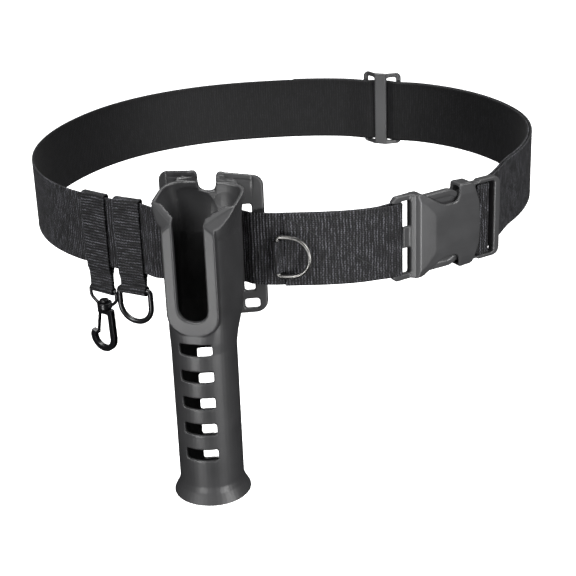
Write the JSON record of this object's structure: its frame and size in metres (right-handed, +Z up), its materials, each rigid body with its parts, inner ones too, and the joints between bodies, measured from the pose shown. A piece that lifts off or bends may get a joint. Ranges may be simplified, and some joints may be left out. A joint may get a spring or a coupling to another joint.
{
  "type": "fishing fighting belt",
  "caption": "Webbing waist belt with a moulded plastic rod holder in front, a side-release buckle, a slider, a sewn steel ring and hanging loops with a swivel hook and a plastic ring.",
  "frame": {"origin": "middle of the waist that the belt goes round, at half the webbing's width", "axes": "+Z up along the wearer's body; -Y out of the wearer's front, where the rod holder is; +X to the right as seen from in front of the wearer"},
  "size_m": [0.3606, 0.3817, 0.2155],
  "materials": {
    "webbing": "woven",
    "holder_plastic": "satin",
    "buckle_plastic": "satin",
    "steel": "polished",
    "hook_plastic": "satin"
  },
  "bodies": {
    "belt": {"belt_webbing": "webbing", "rod_holder": "holder_plastic", "buckle_socket": "buckle_plastic", "buckle_prongs": "buckle_plastic", "strap_slider": "buckle_plastic", "steel_ring": "steel", "ring_tab": "webbing", "hook_hanger": "webbing", "swivel_eye": "hook_plastic", "ring_hanger": "webbing", "hanger_ring": "hook_plastic"},
    "hook": {"snap_hook": "hook_plastic"}
  },
  "joints": [
    {"name": "hook_swivel", "type": "hinge", "parent": "belt", "child": "hook", "pos_m": [-0.08519, -0.14297, -0.0553], "axis": [0, 0, 1], "continuous": true}
  ]
}
